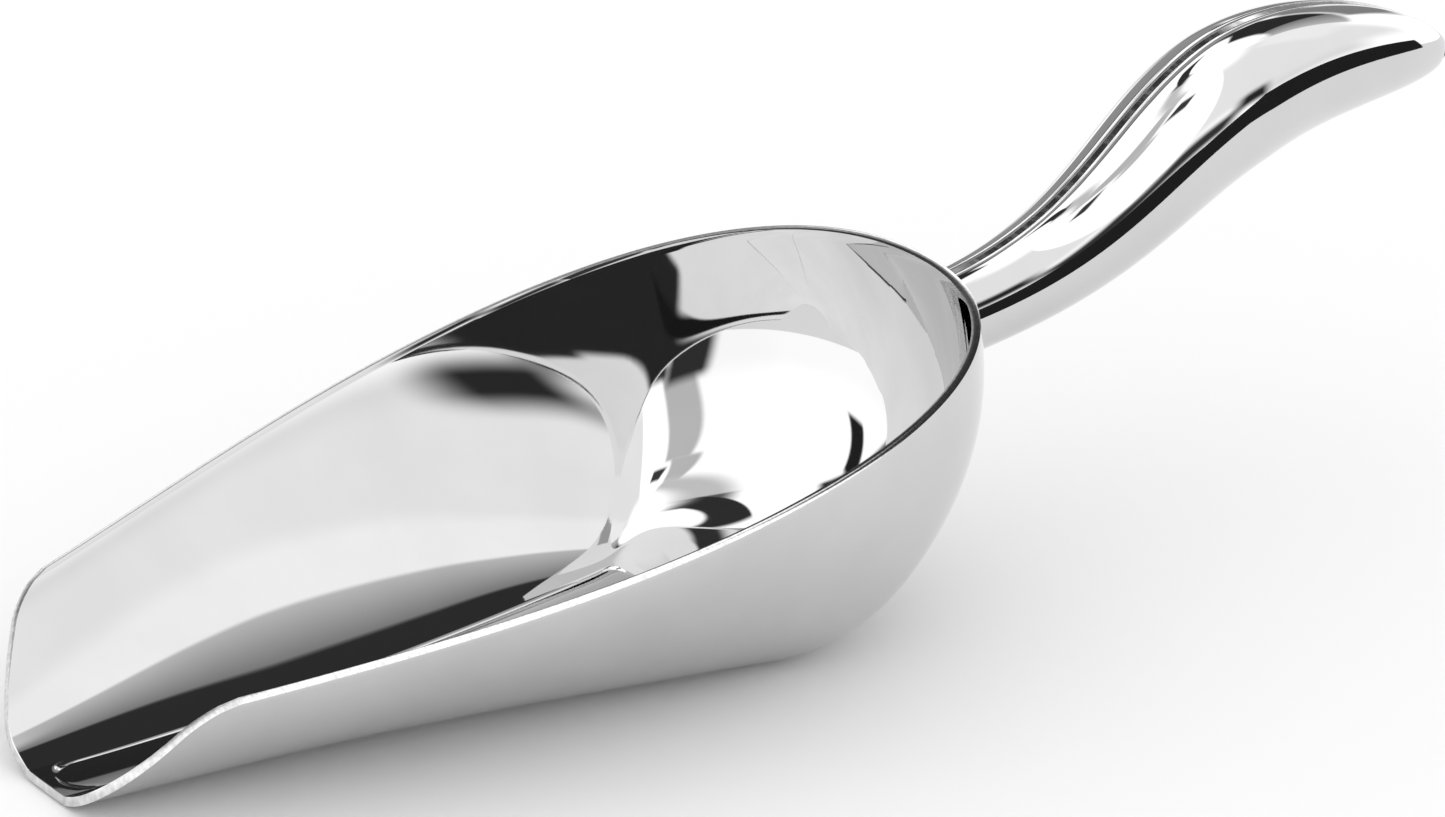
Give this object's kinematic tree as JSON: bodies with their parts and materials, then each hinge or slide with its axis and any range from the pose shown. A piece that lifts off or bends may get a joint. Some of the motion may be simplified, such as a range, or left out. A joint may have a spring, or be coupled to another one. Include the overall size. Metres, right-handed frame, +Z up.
{
  "type": "ice scoop",
  "caption": "Polished steel ice scoop: a tapering open bowl with a raked lip, flat pressed base and rounded back, and a hollow curved handle.",
  "frame": {"origin": "middle of the flat base, on the face that the scoop rests on", "axes": "+X along the scoop from the lip to the handle's tip, +Z up, Y across; the XZ plane is the plane of symmetry"},
  "size_m": [0.24, 0.0852, 0.0714],
  "materials": {
    "bowl_steel": "polished, with fine brushing across the lip's cut edge",
    "left_shell_steel": "polished, with fine scratches",
    "right_shell_steel": "polished, with fine scratches",
    "seam_weld_steel": "weld bead ground flush, satin",
    "root_weld_steel": "weld fillet, polished over"
  },
  "bodies": {
    "root": {"scoop_bowl": "bowl_steel", "handle_left_shell": "left_shell_steel", "handle_right_shell": "right_shell_steel", "handle_seam_weld": "seam_weld_steel", "handle_root_weld": "root_weld_steel"}
  },
  "joints": []
}
